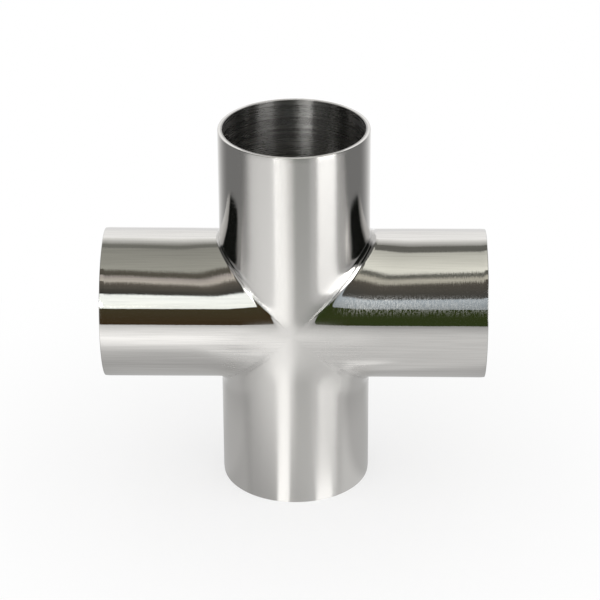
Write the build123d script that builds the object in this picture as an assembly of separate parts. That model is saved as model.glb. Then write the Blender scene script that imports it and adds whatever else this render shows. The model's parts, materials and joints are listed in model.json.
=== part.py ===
from build123d import *
import os

# Sanitary cross for 1 1/2 in tube: four equal legs at right angles, blended into one fitting
# inside and out. Millimetres. The legs lie along X and Z, the origin is where their axes
# cross, and the side with -Y is the front.

# Tube
tube_outside_diameter = 38.1
wall_thickness = 1.2

# Legs, from the crossing of the axes to the end faces: the run stands along Z, and the
# branches leave it along X
run_centre_to_end = 48.5
branch_centre_to_end = 48.5

# Crotches: radius of the round between two neighbouring legs, measured on the outside
crotch_blend = 1.8

# Ends: square cut for welding, with the sharp edges taken off
outside_edge_break = 0.15
bore_edge_break = 0.1

outside_radius = tube_outside_diameter / 2
bore_radius = outside_radius - wall_thickness

# Stock: both bars start longer than any leg, and the ends are faced last
stock_centre_to_end = run_centre_to_end + branch_centre_to_end


def crossed_bars(radius, blend):
    """Two round bars of one radius, crossing at right angles, with their creases rounded.

    The creases are two ellipses in the planes that halve the right angles. They cross at
    the front and at the back, where both bars touch one plane and the round runs out.
    """
    run = Cylinder(radius, 2 * stock_centre_to_end)
    branches = Rot(Y=90) * Cylinder(radius, 2 * stock_centre_to_end)
    bars = run + branches
    return fillet(bars.edges().filter_by(GeomType.ELLIPSE), blend)


def faced_to_length(stock):
    """The stock with its four legs cut square at their end faces."""
    clear_of_sides = 2 * tube_outside_diameter
    return stock & Box(2 * branch_centre_to_end, clear_of_sides, 2 * run_centre_to_end)


def rims_of(fitting, radius):
    """The circles of one radius at the end faces."""
    circles = fitting.edges().filter_by(GeomType.CIRCLE)
    return circles.filter_by(lambda edge: abs(edge.radius - radius) < wall_thickness / 4)


def sanitary_cross():
    """The outside form less the bore, faced to length, with the end edges broken.

    In the crotches the bore turns on the same centre line as the outside, with a radius
    that is larger by the wall, so the wall is the same there as in the legs.
    """
    outside = crossed_bars(outside_radius, crotch_blend)
    bore = crossed_bars(bore_radius, crotch_blend + wall_thickness)
    fitting = faced_to_length(outside - bore)
    fitting = chamfer(rims_of(fitting, outside_radius), outside_edge_break)
    return chamfer(rims_of(fitting, bore_radius), bore_edge_break)


os.makedirs("parts", exist_ok=True)
export_step(sanitary_cross(), "parts/cross_body.step")
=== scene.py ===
"""Looks of a polished sanitary cross: one welded tube fitting, ground and buffed by hand."""

import json
import math

import bpy
import numpy as np
from mathutils import Matrix, Vector


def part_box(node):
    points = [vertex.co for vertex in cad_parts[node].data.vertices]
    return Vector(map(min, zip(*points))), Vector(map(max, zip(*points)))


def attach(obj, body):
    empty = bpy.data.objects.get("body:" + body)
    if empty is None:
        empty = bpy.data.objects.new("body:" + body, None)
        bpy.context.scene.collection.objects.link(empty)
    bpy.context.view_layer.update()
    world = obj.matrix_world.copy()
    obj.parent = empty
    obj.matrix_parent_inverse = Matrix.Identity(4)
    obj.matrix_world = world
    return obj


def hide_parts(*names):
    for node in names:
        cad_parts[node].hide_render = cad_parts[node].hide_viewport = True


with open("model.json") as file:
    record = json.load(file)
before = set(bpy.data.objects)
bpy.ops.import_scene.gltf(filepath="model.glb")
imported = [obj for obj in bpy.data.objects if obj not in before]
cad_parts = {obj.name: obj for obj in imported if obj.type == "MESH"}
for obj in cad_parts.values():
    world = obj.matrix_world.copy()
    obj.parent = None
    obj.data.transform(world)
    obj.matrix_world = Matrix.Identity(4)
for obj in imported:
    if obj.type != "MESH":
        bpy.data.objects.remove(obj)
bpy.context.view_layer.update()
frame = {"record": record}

MM = 0.001

# Sizes of the fitting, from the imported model
low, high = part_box("cross_body")
TUBE_RADIUS = high[1]
RUN_REACH = high[2]
BRANCH_REACH = high[0]
MOUNTS = {mount["name"]: mount for mount in frame["record"]["mounts"]}
BORE_RADIUS = MOUNTS["top_bore"]["dims"]["r_mm"] * MM

# Broken edges of the ends
OUTSIDE_BREAK = 0.15 * MM
BORE_BREAK = 0.1 * MM

# Crotch rounds: the grinder leaves the upper left one tight and the others wider
CROTCH_BLEND = {
    "upper_left": 1.1 * MM,
    "upper_right": 2.3 * MM,
    "lower_left": 2.0 * MM,
    "lower_right": 2.2 * MM,
}

# Fairing: how far from the mitre the grinding leans the skin over in front and behind, on
# the run and on the branch
FAIRING = {
    "upper_left": (2.4 * MM, 0.9 * MM),
    "upper_right": (4.5 * MM, 1.4 * MM),
    "lower_left": (7 * MM, 5 * MM),
    "lower_right": (7 * MM, 5 * MM),
}
FAIRING_TAIL = 8 * MM
TAIL_SHARE = 0.09
FAIRING_LEAST = 0.3 * MM
FAIRING_CHANGE = 1.5 * MM
FAIRING_CHANGE_AT = 1.5 * MM
BORE_BLEND = 3.0 * MM

# Buffing rolls the last stretch of each leg inwards
ROLL_LENGTH = 1.0 * MM
ROLL_DROP = 0.08 * MM

# Hand grinding leaves shallow waves, deeper along the welds
WAVE_LENGTHS = (9 * MM, 22 * MM)
WAVE_DEPTH = 0.014 * MM
WELD_WAVE_DEPTH = 0.02 * MM
WELD_WAVE_REACH = 5 * MM

# Mesh: columns round half a leg, rows along it and rows over half a crotch round
HALF_COLUMNS = 140
LEG_ROWS = 46
BORE_ROWS = 12
BLEND_ROWS = 6
BREAK_ROWS = 3

ACROSS = np.array((0.0, 1.0, 0.0))
LEGS = {
    "top": (np.array((0.0, 0.0, 1.0)), np.array((1.0, 0.0, 0.0)), RUN_REACH),
    "right": (np.array((1.0, 0.0, 0.0)), np.array((0.0, 0.0, 1.0)), BRANCH_REACH),
    "bottom": (np.array((0.0, 0.0, -1.0)), np.array((1.0, 0.0, 0.0)), RUN_REACH),
    "left": (np.array((-1.0, 0.0, 0.0)), np.array((0.0, 0.0, 1.0)), BRANCH_REACH),
}


def wave_field(seed, count=9):
    """A smooth random field: the mean of sine waves in random directions and lengths."""
    rng = np.random.default_rng(seed)
    directions = rng.normal(size=(count, 3))
    directions /= np.linalg.norm(directions, axis=1, keepdims=True)
    lengths = rng.uniform(*WAVE_LENGTHS, size=(count, 1))
    wave_vectors = 2 * math.pi * directions / lengths
    phases = rng.uniform(0, 2 * math.pi, count)
    return lambda points: np.sin(points @ wave_vectors.T + phases).mean(axis=-1)


all_over_waves = wave_field(3)
weld_waves = wave_field(8)


def smooth_step(value):
    """0 below 0, 1 above 1, and 3v^2 - 2v^3 between."""
    value = np.clip(value, 0, 1)
    return value * value * (3 - 2 * value)


def skin_relief(points, out, side, blend, reach):
    """Height of the hand-worked skin over the true form, never above it.

    Waves all over, plus waves that fade as a bell curve with the distance from the crotch
    round, less a parabola over the rolled end. All waves fade out before the end.
    """
    along = points @ out
    aside = np.hypot(points @ side, WELD_WAVE_REACH) - WELD_WAVE_REACH
    past_blend = along - (TUBE_RADIUS + blend) * aside / TUBE_RADIUS
    near_weld = np.exp(-((np.maximum(past_blend, 0) / WELD_WAVE_REACH) ** 2))
    waves = WAVE_DEPTH * (all_over_waves(points) - 1)
    waves += WELD_WAVE_DEPTH * near_weld * (weld_waves(points) - 1)
    from_end = reach - OUTSIDE_BREAK - along
    rolled = np.clip(1 - from_end / ROLL_LENGTH, 0, 1) ** 2
    return waves * smooth_step(from_end / (3 * ROLL_LENGTH)) - ROLL_DROP * rolled


def fairing_width(points, out):
    """The width of the fairing on a leg: by crotch, smooth across the planes between them."""
    on_branch = int(out[2] == 0)
    widths = {crotch: pair[on_branch] for crotch, pair in FAIRING.items()}
    right = smooth_step(points[..., 0] / (2 * FAIRING_CHANGE) + 0.5)
    up = smooth_step((points[..., 2] - FAIRING_CHANGE_AT) / (2 * FAIRING_CHANGE) + 0.5)
    upper = widths["upper_left"] * (1 - right) + widths["upper_right"] * right
    lower = widths["lower_left"] * (1 - right) + widths["lower_right"] * right
    width = lower * (1 - up) + upper * up
    return width * np.abs(points @ ACROSS) / TUBE_RADIUS + FAIRING_LEAST


def worked_skin(points, normals, out, side, blend, reach):
    """The skin moved by its relief, with its normals tilted against the relief's slope.

    Towards the mitre the normals lean over to the neighbour's, which are their own with
    side and out exchanged, until both share one normal on the mitre itself.
    """
    step = 0.02 * MM

    def relief(where):
        return skin_relief(where, out, side, blend, reach)

    helper = np.broadcast_to(out, normals.shape)
    first = np.cross(helper, normals)
    first /= np.linalg.norm(first, axis=-1, keepdims=True)
    second = np.cross(normals, first)
    tilted = normals.copy()
    for direction in (first, second):
        slope = (relief(points + step * direction) - relief(points - step * direction)) / (2 * step)
        tilted -= slope[..., None] * direction
    from_mitre = (points @ out - np.abs(points @ side)) / math.sqrt(2)
    tail = TAIL_SHARE * (1 - smooth_step(from_mitre / FAIRING_TAIL))
    share = tail + (0.5 - TAIL_SHARE) * (1 - smooth_step(from_mitre / fairing_width(points, out)))
    share = share[..., None]
    over_the_mitre = tilted + ((tilted @ side) - (tilted @ out))[..., None] * (out - side)
    tilted = (1 - share) * tilted + share * over_the_mitre
    tilted /= np.linalg.norm(tilted, axis=-1, keepdims=True)
    return points + relief(points)[..., None] * normals, tilted


def half_leg(radius, blend, out, side, end, rows):
    """Half of a leg's wall, from the mitre with its neighbour to the end.

    At the angle s round the leg, a ball of the blend's radius rolls in the crotch with its
    centre at (radius + blend) * (cos s, sin s, cos s) along side, across and out. It touches
    the leg along the direction (cos s, sin s, 0) from that centre and the neighbour along
    (0, sin s, cos s). The first rows sweep that arc from its middle to the leg, and the
    others run straight along the leg, closer together near the crotch.
    """
    s = np.linspace(-math.pi / 2, math.pi / 2, HALF_COLUMNS + 1)[:, None, None]
    to_leg = np.cos(s) * side + np.sin(s) * ACROSS
    to_neighbour = np.cos(s) * out + np.sin(s) * ACROSS
    centre = (radius + blend) * (to_leg + np.cos(s) * out)

    full_turn = np.arccos(np.clip(np.sin(s) ** 2, 0, 1))
    turn = full_turn * np.linspace(0.5, 0, BLEND_ROWS + 1)[None, :, None]
    spread = np.sin(full_turn)
    safe = np.where(spread < 1e-6, 1, spread)
    share = np.where(spread < 1e-6, 0, np.sin(turn) / safe)
    rest = np.where(spread < 1e-6, 1, np.sin(full_turn - turn) / safe)
    arc_normals = rest * to_leg + share * to_neighbour
    arc = centre - blend * arc_normals

    start = (radius + blend) * np.cos(s)
    reached = np.linspace(0, 1, rows + 1)[None, 1:, None] ** 1.5
    along = start + (end - start) * reached
    wall = radius * to_leg + along * out
    wall_normals = np.broadcast_to(to_leg, wall.shape)

    points = np.concatenate([arc, wall], axis=1)
    normals = np.concatenate([arc_normals, wall_normals], axis=1)
    grain = np.stack([points @ out, np.broadcast_to(radius * s[..., 0], points.shape[:2])], axis=-1)
    return points, normals, grain


def end_ring(out, side, reach):
    """A leg's end: a profile of rounded break, flat face and rounded break, turned round the leg.

    Each break is a quarter circle between the wall and the face.
    """
    s = np.linspace(-math.pi, math.pi, 2 * HALF_COLUMNS + 1)[:, None, None]
    radial = np.cos(s) * side + np.sin(s) * ACROSS
    outer = TUBE_RADIUS - ROLL_DROP

    turn = np.linspace(0, math.pi / 2, BREAK_ROWS + 1)
    profile = [
        (outer - OUTSIDE_BREAK * (1 - np.cos(turn)), reach - OUTSIDE_BREAK * (1 - np.sin(turn)), np.cos(turn), np.sin(turn)),
        (np.array((outer - OUTSIDE_BREAK, BORE_RADIUS + BORE_BREAK)), np.full(2, reach), np.zeros(2), np.ones(2)),
        (
            BORE_RADIUS + BORE_BREAK * (1 - np.cos(turn))[::-1],
            reach - BORE_BREAK * (1 - np.sin(turn))[::-1],
            -np.cos(turn)[::-1],
            np.sin(turn)[::-1],
        ),
    ]
    for radii, heights, radial_share, out_share in profile:
        points = radii[None, :, None] * radial + heights[None, :, None] * out
        normals = radial_share[None, :, None] * radial + out_share[None, :, None] * out
        grain = np.stack(
            [np.broadcast_to(radii[None, :], points.shape[:2]), np.broadcast_to(radii.mean() * s[..., 0], points.shape[:2])],
            axis=-1,
        )
        yield points, normals, grain


def crotch_name(direction):
    """The crotch that lies in a direction from the centre."""
    return ("upper" if direction[2] > 0 else "lower") + ("_right" if direction[0] > 0 else "_left")


def fitting_patches():
    """Every patch of the fitting: grids of points, outward normals and grain coordinates."""
    for out, first_side, reach in LEGS.values():
        for side in (first_side, -first_side):
            blend = CROTCH_BLEND[crotch_name(out + side)]
            points, normals, grain = half_leg(TUBE_RADIUS, blend, out, side, reach - OUTSIDE_BREAK, LEG_ROWS)
            points, normals = worked_skin(points, normals, out, side, blend, reach)
            yield points, normals, grain
            points, normals, grain = half_leg(BORE_RADIUS, BORE_BLEND, out, side, reach - BORE_BREAK, BORE_ROWS)
            yield points, -normals, grain
        yield from end_ring(out, first_side, reach)


def welded_mesh(name, patches):
    """One closed mesh from grids of points, with their own normals and grain as a UV map.

    Each grid cell is two triangles, turned to face along its normals. Corners that fall
    within a tenth of a micron are one vertex, and triangles that shrink to a line are left out.
    """
    points, normals, grain, corners, offset = [], [], [], [], 0
    for grid, grid_normals, grid_grain in patches:
        columns, rows = grid.shape[:2]
        index = offset + np.arange(columns * rows).reshape(columns, rows)
        a, b, c, d = index[:-1, :-1], index[1:, :-1], index[1:, 1:], index[:-1, 1:]
        corners.append(np.stack([a, b, c, a, c, d], axis=-1).reshape(-1, 3))
        points.append(grid.reshape(-1, 3))
        normals.append(grid_normals.reshape(-1, 3))
        grain.append(grid_grain.reshape(-1, 2))
        offset += columns * rows
    points, normals, grain, corners = map(np.concatenate, (points, normals, grain, corners))

    cells = np.round(points / (1e-4 * MM)).astype(np.int64)
    _, first, merged = np.unique(cells, axis=0, return_index=True, return_inverse=True)
    merged = merged.reshape(-1)
    triangles = merged[corners]
    whole = (
        (triangles[:, 0] != triangles[:, 1])
        & (triangles[:, 1] != triangles[:, 2])
        & (triangles[:, 2] != triangles[:, 0])
    )
    corners = corners[whole]
    edges = points[corners]
    facing = np.cross(edges[:, 1] - edges[:, 0], edges[:, 2] - edges[:, 0])
    backwards = (facing * normals[corners].sum(axis=1)).sum(axis=1) < 0
    corners[backwards] = corners[backwards][:, ::-1]
    triangles = merged[corners]

    mesh = bpy.data.meshes.new(name)
    mesh.from_pydata(points[first], [], triangles)
    mesh.uv_layers.new(name="grain").data.foreach_set("uv", (grain[corners] / MM).ravel().astype(np.float32))
    mesh.polygons.foreach_set("use_smooth", np.ones(len(triangles), bool))
    mesh.normals_split_custom_set(normals[corners].reshape(-1, 3))
    mesh.validate()
    mesh.update()
    piece = bpy.data.objects.new(name, mesh)
    bpy.context.collection.objects.link(piece)
    return piece


class Socket:
    """An output socket on which sums and products add their Math nodes."""

    def __init__(self, sheet, output):
        self.sheet = sheet
        self.output = output

    def math(self, operation, *values):
        return self.sheet.add("ShaderNodeMath", {"operation": operation}, dict(enumerate(values)))

    def __add__(self, other):
        return self.math("ADD", self, other)

    __radd__ = __add__

    def __sub__(self, other):
        return self.math("SUBTRACT", self, other)

    def __rsub__(self, other):
        return self.math("SUBTRACT", other, self)

    def __mul__(self, other):
        return self.math("MULTIPLY", self, other)

    __rmul__ = __mul__

    def __truediv__(self, other):
        return self.math("DIVIDE", self, other)

    def __pow__(self, other):
        return self.math("POWER", self, other)

    def __abs__(self):
        return self.math("ABSOLUTE", self)

    def within(self, start, end):
        """0 where the value is at start, 1 where it is at end, clamped, smooth between."""
        return self.sheet.add(
            "ShaderNodeMapRange",
            {"interpolation_type": "SMOOTHSTEP"},
            {"Value": self, "From Min": start, "From Max": end},
        )


class Sheet:
    """A node tree that adds nodes by type, settings and socket values or links."""

    def __init__(self, owner):
        owner.use_nodes = True
        self.tree = owner.node_tree
        self.tree.nodes.clear()

    def add(self, kind, settings=None, values=None, output=0):
        node = self.tree.nodes.new(kind)
        for name, setting in (settings or {}).items():
            if name == "stops":
                self.set_stops(node.color_ramp, setting)
            else:
                setattr(node, name, setting)
        for key, value in (values or {}).items():
            if isinstance(value, Socket):
                self.tree.links.new(value.output, node.inputs[key])
            else:
                node.inputs[key].default_value = value
        return Socket(self, node.outputs[output]) if len(node.outputs) else node

    @staticmethod
    def set_stops(ramp, stops):
        ramp.elements[1].position = stops[-1][0]
        ramp.elements[0].position = stops[0][0]
        for place, _ in stops[1:-1]:
            ramp.elements.new(place)
        for element, (_, colour) in zip(ramp.elements, stops):
            element.color = (*colour, 1)

    def mix_colours(self, share, first, second):
        node = self.tree.nodes.new("ShaderNodeMix")
        node.data_type = "RGBA"
        for place, value in ((0, share), (6, first), (7, second)):
            if isinstance(value, Socket):
                self.tree.links.new(value.output, node.inputs[place])
            elif place == 0:
                node.inputs[place].default_value = value
            else:
                node.inputs[place].default_value = (*value, 1)
        return Socket(self, node.outputs[2])

    def marks(self, across, along, spacing, length):
        """Noise in short lines: so many millimetres apart across them, and so long."""
        place = self.add("ShaderNodeCombineXYZ", {}, {0: across * (1 / spacing), 1: along * (1 / length)})
        return self.add("ShaderNodeTexNoise", {"noise_dimensions": "2D"}, {"Vector": place, "Scale": 1.0, "Detail": 2.0})

    def split(self, vector):
        node = self.tree.nodes.new("ShaderNodeSeparateXYZ")
        self.tree.links.new(vector.output, node.inputs[0])
        return [Socket(self, output) for output in node.outputs]


# Polished stainless. The branches and the flanks of the run are buffed bright, and the front
# and back of the run keep the satin of the belt.
STEEL = (0.745, 0.73, 0.705)
SATIN_ROUGHNESS = 0.27
BRIGHT_ROUGHNESS = 0.055
BORE_ROUGHNESS = 0.27
# Share of the steel's colour kept in the bore: painted shade inside the tube
BORE_SHADE = 0.5
GRAIN_STRETCH = 1.0
SATIN_FROM = 0.74
SATIN_TO = 0.60

# Belt marks round each leg: spacing along the leg, length round it and depth
MARK_SPACING = 0.25
MARK_LENGTH = 2.5
MARK_DEPTH = 0.008 * MM

# Scratches that are coarse enough to see: spacing and length round the leg, and depth in the bore
SCRATCH_SPACING = 0.4
SCRATCH_LENGTH = 1.3
SCRATCH_DEPTH = 0.03 * MM

# Belt lines round the bore of the run and along the branches: spacing and length, how much darker
# and how much rougher than the mean the steel is in them
LINE_SPACING = 0.6
LINE_LENGTH = 20.0
LINE_SHADE = 0.035
LINE_ROUGHNESS = 0.15

# Soft steel, where a hand pad went over the middle and over the right branch: its roughness
# and how much of it shows
SOFT_ROUGHNESS = 0.27
SOFT_IN_MIDDLE = 0.9
SOFT_ON_BRANCH = 0.34

# Pits in the skin: place from the front (x, z) and radius
PITS = [(-14.1, -38.8, 0.3), (-12.5, -40.4, 0.2), (-1.8, -45.8, 0.25), (9.1, -40.7, 0.28), (13.2, -30.5, 0.22)]
PIT_DEPTH = 0.12

# Weld lines between the top and the branches: a narrow groove that the buffing left
WELD_LINE_WIDTH = 0.2 * MM
WELD_LINE_DEPTH = 0.07 * MM
WELD_LINE_FROM = 4.5 * MM
WELD_LINE_FULL = 8 * MM


def polished_stainless():
    """Steel polished with lines round each leg: light smears along the leg, not round it."""
    material = bpy.data.materials.new("polished_stainless")
    sheet = Sheet(material)
    x, y, z = sheet.split(sheet.add("ShaderNodeTexCoord", output=3))
    on_run = (abs(z) - abs(x)).within(-0.4 * MM, 0.4 * MM)
    from_run_axis = (x * x + y * y) ** 0.5
    from_branch_axis = (z * z + y * y) ** 0.5
    from_axis = on_run * from_run_axis + (1 - on_run) * from_branch_axis
    in_bore = 1 - from_axis.within(BORE_RADIUS + 0.2 * MM, BORE_RADIUS + 0.6 * MM)

    from_middle = (x * x + z * z) ** 0.5
    satin = on_run * (abs(x) / TUBE_RADIUS).within(SATIN_FROM, SATIN_TO)
    under_middle = (1 - on_run) * z.within(4 * MM, -2 * MM) * (abs(x) / TUBE_RADIUS).within(1.6, 0.7)
    satin = satin + under_middle
    outside_roughness = satin * (SATIN_ROUGHNESS - BRIGHT_ROUGHNESS) + BRIGHT_ROUGHNESS
    roughness = in_bore * (BORE_ROUGHNESS - outside_roughness) + outside_roughness

    along, around, _ = sheet.split(sheet.add("ShaderNodeUVMap", {"uv_map": "grain"}))
    marks = sheet.marks(along, around, MARK_SPACING, MARK_LENGTH)
    scratches = sheet.marks(along, around, SCRATCH_SPACING, SCRATCH_LENGTH)
    across_lines = on_run * (along - around) + around
    along_lines = on_run * (around - along) + along
    lines = sheet.marks(across_lines, along_lines, LINE_SPACING, LINE_LENGTH).within(0.3, 0.7)
    lines = (lines - 0.5) * (1 - on_run * (1 - in_bore)) + 0.5
    roughness = roughness * (1 + (lines - 0.5) * (2 * LINE_ROUGHNESS))

    pale_steel, dark_steel = (
        tuple(share * tone for tone in STEEL) for share in (1 + LINE_SHADE, 1 - LINE_SHADE)
    )
    lined_steel = sheet.mix_colours(lines, pale_steel, dark_steel)
    # Painted shade: inside the bore the steel's colour is darkened to stand in for the shade in the tube
    bore_steel_painted_shade = tuple(BORE_SHADE * tone for tone in STEEL)
    colour = sheet.mix_colours(in_bore, lined_steel, bore_steel_painted_shade)
    off_mitre = abs(abs(x) - abs(z)) * (1 / WELD_LINE_WIDTH)
    weld_line = (off_mitre * off_mitre * -1).math("EXPONENT", off_mitre * off_mitre * -1)
    weld_line = weld_line * z.within(WELD_LINE_FROM, WELD_LINE_FULL) * (1 - in_bore)
    height = marks * MARK_DEPTH + scratches * in_bore * SCRATCH_DEPTH - weld_line * WELD_LINE_DEPTH
    for pit_x, pit_z, pit_radius in PITS:
        aside = (x - pit_x * MM) * (1 / (pit_radius * MM))
        above = (z - pit_z * MM) * (1 / (pit_radius * MM))
        pit = x.math("EXPONENT", (aside * aside + above * above) * -1)
        height = height - pit * y.within(0, -2 * MM) * (PIT_DEPTH * pit_radius * MM)
    skin = sheet.add("ShaderNodeBump", {}, {"Strength": 1.0, "Distance": 1.0, "Height": height})

    steel = sheet.add(
        "ShaderNodeBsdfPrincipled",
        {},
        {
            "Base Color": colour,
            "Metallic": 1.0,
            "Roughness": roughness,
            "Anisotropic": GRAIN_STRETCH,
            "Normal": skin,
            "Tangent": sheet.add("ShaderNodeTangent", {"direction_type": "UV_MAP", "uv_map": "grain"}),
        },
    )
    soft_steel = sheet.add(
        "ShaderNodeBsdfPrincipled",
        {},
        {"Base Color": (*STEEL, 1), "Metallic": 1.0, "Roughness": SOFT_ROUGHNESS, "Normal": skin},
    )
    middle = from_middle.within(15 * MM, 6 * MM) * z.within(5 * MM, 1 * MM) * SOFT_IN_MIDDLE
    padded = x.within(9 * MM, 16 * MM) * z.within(5 * MM, 7 * MM) * z.within(10.7 * MM, 9.0 * MM)
    padded = padded * (1 - on_run) * scratches.within(0.42, 0.58) * SOFT_ON_BRANCH
    soft_share = (middle + padded) * (1 - in_bore)
    surface = sheet.add("ShaderNodeMixShader", {}, {0: soft_share, 1: steel, 2: soft_steel})
    sheet.add("ShaderNodeOutputMaterial", {}, {"Surface": surface})
    return material


fitting = welded_mesh("polished_cross", fitting_patches())
fitting.data.materials.append(polished_stainless())
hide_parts("cross_body")
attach(fitting, "root")


# Studio. The panels stand on a drum round the X axis, and only reflections see them. Their
# angles are degrees from the horizon in front, up over the fitting and down to the one behind.
DRUM_RADIUS = 380 * MM
DRUM_REACH = 160 * MM
FLOOR_RADIUS = 345 * MM
LEFT_SIDE = (-1.0, 0.0)
RIGHT_SIDE = (0.0, 1.0)
BOTH_SIDES = (-1.0, 1.0)

# The panels lean: towards the middle of the drum their edges come down by so many degrees
LEAN = 14
LEAN_REACH = 95 * MM
LEAN_FROM = 17
LEAN_FULL = 60

PANELS = [
    ("brown_wall", LEFT_SIDE, -12, 16.2, (0.05, 0.03, 0.014), (0.06, 0.05, 0.026)),
    ("green_wall", RIGHT_SIDE, -12, 17, (0.034, 0.05, 0.015), (0.032, 0.044, 0.01)),
    ("window", LEFT_SIDE, 16.2, 38.5, (1.12, 1.16, 1.1), (1.12, 1.17, 1.15)),
    ("hazy_window", RIGHT_SIDE, 17, 35, (0.3, 0.33, 0.35), (0.45, 0.51, 0.56)),
    ("wall_over_window_left", LEFT_SIDE, 38.5, 58, (0.04, 0.04, 0.036), (0.14, 0.125, 0.105)),
    ("wall_over_window_right", RIGHT_SIDE, 35, 63.5, (0.06, 0.06, 0.055), (0.1, 0.09, 0.075)),
    ("beam_left", LEFT_SIDE, 58, 68, (0.64, 0.6, 0.53), (0.42, 0.38, 0.36)),
    ("beam_right", RIGHT_SIDE, 63.5, 71, (0.58, 0.56, 0.48), (0.52, 0.5, 0.43)),
    ("gap_over_beam", LEFT_SIDE, 68, 77.5, (0.09, 0.085, 0.068), (0.12, 0.11, 0.09)),
    ("shade_over_beam", RIGHT_SIDE, 71, 78.5, (0.15, 0.15, 0.13), (0.13, 0.13, 0.115)),
    ("ceiling_left", LEFT_SIDE, 77.5, 118, (0.4, 0.4, 0.355), (0.3, 0.3, 0.27)),
    ("ceiling_right", RIGHT_SIDE, 78.5, 115, (0.95, 0.95, 0.86), (0.55, 0.55, 0.5)),
    ("ceiling_edge_left", LEFT_SIDE, 118, 125, (0.19, 0.19, 0.175), (0.2, 0.2, 0.18)),
    ("ceiling_edge_right", RIGHT_SIDE, 115, 127, (0.15, 0.15, 0.135), (0.15, 0.15, 0.135)),
    ("backdrop_top_left", LEFT_SIDE, 125, 142, (0.24, 0.24, 0.22), (0.98, 0.98, 0.96)),
    ("backdrop_top_right", RIGHT_SIDE, 127, 142, (0.3, 0.3, 0.28), (0.98, 0.98, 0.96)),
    ("backdrop", BOTH_SIDES, 142, 172, (1.05, 1.05, 1.05), (0.92, 0.92, 0.92)),
    ("backdrop_foot", BOTH_SIDES, 172, 188, (0.85, 0.85, 0.86), (0.8, 0.8, 0.8)),
]


def glowing(name, first, second):
    """A lamp colour that runs from first to second over the panel's own UV height."""
    material = bpy.data.materials.new(name)
    sheet = Sheet(material)
    height = sheet.split(sheet.add("ShaderNodeTexCoord", output=2))[1]
    colour = sheet.mix_colours(height, first, second)
    light = sheet.add("ShaderNodeEmission", {}, {"Color": colour, "Strength": 1.0})
    sheet.add("ShaderNodeOutputMaterial", {}, {"Surface": light})
    return material


def stage_grid(name, grid, material):
    """A stage surface from a grid of points, with the grid's own directions as its UV map."""
    columns, rows = grid.shape[:2]
    index = np.arange(columns * rows).reshape(columns, rows)
    quads = np.stack([index[:-1, :-1], index[1:, :-1], index[1:, 1:], index[:-1, 1:]], axis=-1).reshape(-1, 4)
    u, v = np.meshgrid(np.linspace(0, 1, columns), np.linspace(0, 1, rows), indexing="ij")
    mesh = bpy.data.meshes.new(name)
    mesh.from_pydata(grid.reshape(-1, 3), [], quads)
    places = np.stack([u, v], axis=-1).reshape(-1, 2)[quads.ravel()]
    mesh.uv_layers.new(name="sheet").data.foreach_set("uv", places.ravel().astype(np.float32))
    mesh.materials.append(material)
    mesh.update()
    piece = bpy.data.objects.new(name, mesh)
    bpy.context.collection.objects.link(piece)
    return piece


def seen_only_in_reflections(piece):
    for ray in ("camera", "diffuse", "transmission", "volume_scatter", "shadow"):
        setattr(piece, f"visible_{ray}", False)


def drum_panel(name, sides, start, end, first, second):
    """A strip of the drum: radius * (-cos, sin) of the angle along Y and Z, straight along X.

    The angle is less towards the middle, by LEAN times the share of the way in, and it fades
    out from LEAN_FULL down to LEAN_FROM.
    """
    x, angle = np.meshgrid(np.linspace(*sides, 17) * DRUM_REACH, np.linspace(start, end, 9), indexing="ij")
    lean = LEAN * np.clip((angle - LEAN_FROM) / (LEAN_FULL - LEAN_FROM), 0, 1)
    lean = lean * np.clip(1 - abs(x) / LEAN_REACH, 0, 1)
    lean = lean * np.clip((180 - angle) / 80, 0, 1)
    turn = np.radians(angle - lean)
    grid = np.stack([x, -DRUM_RADIUS * np.cos(turn), DRUM_RADIUS * np.sin(turn)], axis=-1)
    seen_only_in_reflections(stage_grid(name, grid, glowing(name, first, second)))


for panel in PANELS:
    drum_panel(*panel)

# Lamps, which the satin of the run smears into streaks: distance, azimuths from the front
# towards the right of the picture, elevations and brightness. The left one stands in the
# window of the drum.
LAMPS = [
    ("window_lamp", 375 * MM, -27, -8.5, 18, 35, 15.0),
    ("right_lamp", 345 * MM, 34, 62, -4, 41, 3.2),
]


def lamp_strip(name, distance, left, right, lower, upper, glow):
    """A strip of an upright cylinder: distance * (sin, -cos) of the azimuth, and tan of the elevation."""
    turn = np.radians(np.linspace(left, right, 13))
    rise = np.tan(np.radians(np.array((lower, upper))))
    turn, rise = np.meshgrid(turn, rise, indexing="ij")
    grid = distance * np.stack([np.sin(turn), -np.cos(turn), rise], axis=-1)
    seen_only_in_reflections(stage_grid(name, grid, glowing(name, (glow,) * 3, (glow,) * 3)))


for lamp in LAMPS:
    lamp_strip(*lamp)

# Light round about, as reflections see it: azimuth and tone
LIGHT_ROUND = [
    (-180, 0.75),
    (-140, 0.75),
    (-118, 0.4),
    (-85, 0.2),
    (-70, 0.25),
    (-56, 0.45),
    (-25, 0.62),
    (-5, 0.48),
    (20, 0.4),
    (30, 0.45),
    (70, 0.4),
    (84, 0.28),
    (98, 0.17),
    (122, 0.16),
    (136, 0.6),
    (180, 0.75),
]
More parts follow.
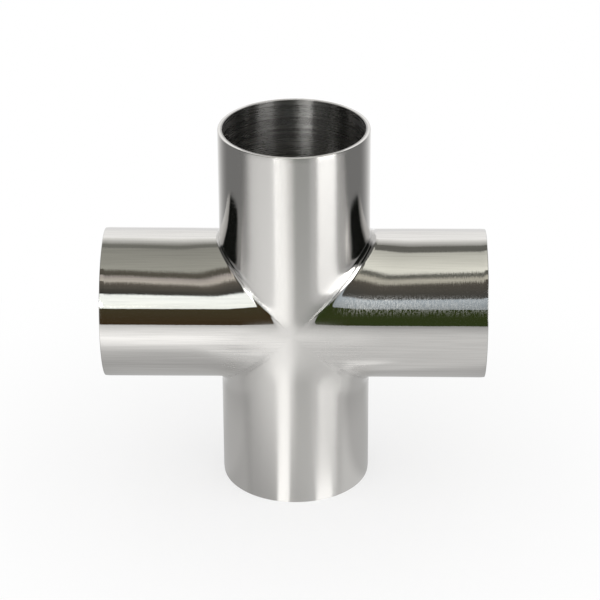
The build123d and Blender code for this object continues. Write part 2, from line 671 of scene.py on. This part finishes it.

# Floor tones as reflections see them: by distance in front of the fitting, left and right of
# the middle, then beside it and behind it, near and far. Reflections see the floor glow with these
# painted tones, and the dark tones close in front of the fitting are a painted shadow
FLOOR_LEFT = [(0, 0.43), (20, 0.46), (45, 0.58), (62, 0.85), (72, 1.1), (100, 1.25), (125, 1.05), (165, 0.95), (300, 0.65)]
FLOOR_RIGHT = [(0, 0.65), (20, 0.65), (60, 0.68), (110, 0.7), (150, 0.62), (300, 0.38)]
FLOOR_LENGTH = 300
FLOOR_BESIDE = (0.5, 0.2)
FLOOR_BEHIND = (0.8, 1.0)
# Painted lamp streaks in the floor's glow: azimuths of their edges, reach and tone
FLOOR_PAINTED_LAMP_STREAKS = [(-27, -8.5, 60 * MM, 1.25), (34, 62, 32 * MM, 1.25)]
NEAR = 40 * MM
FAR = 110 * MM
SIDES_FROM, SIDES_TO = 62, 82
BACK_FROM, BACK_TO = 112, 175
CAMERA_FLOOR = (0.93, 0.93, 0.93)
WHITE_FROM = 40 * MM
WHITE_AT = 130 * MM
SHADOW_SHARE = 0.35


def tones(sheet, place, stops):
    """A grey tone from a list of places, which run from 0 to 1, and tones."""
    return sheet.add("ShaderNodeValToRGB", {"stops": [(at, (tone,) * 3) for at, tone in stops]}, {0: place})


def pale_floor():
    """A pale floor that fades to plain white for the camera, away from the fitting.

    Reflections see it glow with painted tones instead: painted shadow near the fitting and under
    its foot, and painted streaks of the lamps.
    """
    material = bpy.data.materials.new("pale_floor")
    sheet = Sheet(material)
    x, y, _ = sheet.split(sheet.add("ShaderNodeTexCoord", output=3))
    away = (x * x + y * y) ** 0.5
    azimuth = abs(x.math("ARCTAN2", x, y * -1)) * (180 / math.pi)
    in_front = y * (-1 / (FLOOR_LENGTH * MM))
    left, right = (
        tones(sheet, in_front, [(distance / FLOOR_LENGTH, tone) for distance, tone in stops])
        for stops in (FLOOR_LEFT, FLOOR_RIGHT)
    )
    near_to_far = away.within(NEAR, FAR)
    beside, behind = (
        near_to_far * (far - near) + near for near, far in (FLOOR_BESIDE, FLOOR_BEHIND)
    )
    mirrored = sheet.mix_colours(x.within(-8 * MM, 8 * MM), left, right)
    mirrored = sheet.mix_colours(azimuth.within(SIDES_FROM, SIDES_TO), mirrored, beside)
    mirrored = sheet.mix_colours(azimuth.within(BACK_FROM, BACK_TO), mirrored, behind)
    # Painted light: bright streaks where reflections of the run see the floor, standing in for the lamps
    for left, right, reach, tone in FLOOR_PAINTED_LAMP_STREAKS:
        turn = x.math("ARCTAN2", x, y * -1) * (180 / math.pi) * away / (away - TUBE_RADIUS / 2)
        share = turn.within(left - 3, left + 3) * turn.within(right + 3, right - 3)
        share = share * away.within(reach + 9 * MM, reach - 9 * MM)
        mirrored = sheet.mix_colours(share, mirrored, (tone,) * 3)
    # Painted shadow: inside the foot of the run the floor glows almost black for reflections
    mirrored = sheet.mix_colours(away.within(TUBE_RADIUS, BORE_RADIUS), mirrored, (0.03, 0.03, 0.03))
    camera = sheet.add("ShaderNodeLightPath", output=0)
    glossy = sheet.add("ShaderNodeLightPath", output=3)
    paint = sheet.add("ShaderNodeBsdfDiffuse", {}, {"Color": (*CAMERA_FLOOR, 1)})
    white = sheet.add("ShaderNodeEmission", {}, {"Color": (1, 1, 1, 1), "Strength": 1.0})
    glow = sheet.add("ShaderNodeEmission", {}, {"Color": mirrored, "Strength": 1.0})
    whiteness = away.within(WHITE_FROM, WHITE_AT) * SHADOW_SHARE + (1 - SHADOW_SHARE)
    seen = sheet.add("ShaderNodeMixShader", {}, {0: whiteness * camera, 1: paint, 2: white})
    surface = sheet.add("ShaderNodeMixShader", {}, {0: glossy, 1: seen, 2: glow})
    sheet.add("ShaderNodeOutputMaterial", {}, {"Surface": surface})
    return material


turn, ring = np.meshgrid(np.linspace(0, 2 * math.pi, 97), np.linspace(0, FLOOR_RADIUS, 7), indexing="ij")
disc = np.stack([ring * np.cos(turn), ring * np.sin(turn), np.full_like(ring, low[2])], axis=-1)
stage_grid("floor", disc, pale_floor())


def studio_world():
    """White to the camera, plain light on the floor, and a room with dark corners in reflections."""
    world = bpy.data.worlds.new("studio")
    bpy.context.scene.world = world
    sheet = Sheet(world)
    x, y, height = sheet.split(sheet.add("ShaderNodeTexCoord", output=0))
    camera = sheet.add("ShaderNodeLightPath", output=0)
    glossy = sheet.add("ShaderNodeLightPath", output=3)
    azimuth = abs(x.math("ARCTAN2", x, y * -1)) * (180 / math.pi)
    dark_corner = azimuth.within(64, 70) * azimuth.within(122, 114) * height.within(0.02, 0.1)
    stops = [(angle / 360 + 0.5, tone) for angle, tone in LIGHT_ROUND]
    round_about = tones(sheet, x.math("ARCTAN2", x, y * -1) * (0.5 / math.pi) + 0.5, stops)
    slit = azimuth.within(54.5, 55.5) * azimuth.within(58.5, 57.5) * height.within(0.02, 0.1) * x.within(0, -0.1)
    round_about = sheet.mix_colours(dark_corner + slit, round_about, (0.006, 0.007, 0.006))
    overhead = height.within(0.6, 0.75)
    round_about = sheet.mix_colours(overhead, round_about, (0.12, 0.12, 0.115))
    colour = sheet.mix_colours(glossy, (1.0, 1.0, 1.0), round_about)
    colour = sheet.mix_colours(camera, colour, (1.0, 1.0, 1.0))
    light = sheet.add("ShaderNodeBackground", {}, {"Color": colour, "Strength": 1.0})
    sheet.add("ShaderNodeOutputWorld", {}, {"Surface": light})


studio_world()

# Camera, fitted to the silhouettes of the four legs and to the mouth and the foot of the run
AZIMUTH = math.radians(1.271)
ELEVATION = math.radians(27.27)
ROLL = math.radians(-0.292)
DISTANCE = 625 * MM
AIM_RIGHT = 1.259 * MM
AIM_UP = 0.52 * MM
LENS = 146.27


def add_camera():
    back = Vector((math.sin(AZIMUTH) * math.cos(ELEVATION), -math.cos(AZIMUTH) * math.cos(ELEVATION), math.sin(ELEVATION)))
    level = Vector((0, 0, 1)).cross(back).normalized()
    upright = back.cross(level)
    right = math.cos(ROLL) * level + math.sin(ROLL) * upright
    up = math.cos(ROLL) * upright - math.sin(ROLL) * level
    place = AIM_RIGHT * right + AIM_UP * up + DISTANCE * back
    data = bpy.data.cameras.new("camera")
    data.lens = LENS
    data.clip_start = 10 * MM
    data.clip_end = 10
    camera = bpy.data.objects.new("camera", data)
    camera.matrix_world = Matrix.Translation(place) @ Matrix((right, up, back)).transposed().to_4x4()
    bpy.context.collection.objects.link(camera)
    bpy.context.scene.camera = camera


add_camera()
bpy.context.scene.view_settings.view_transform = "Standard"
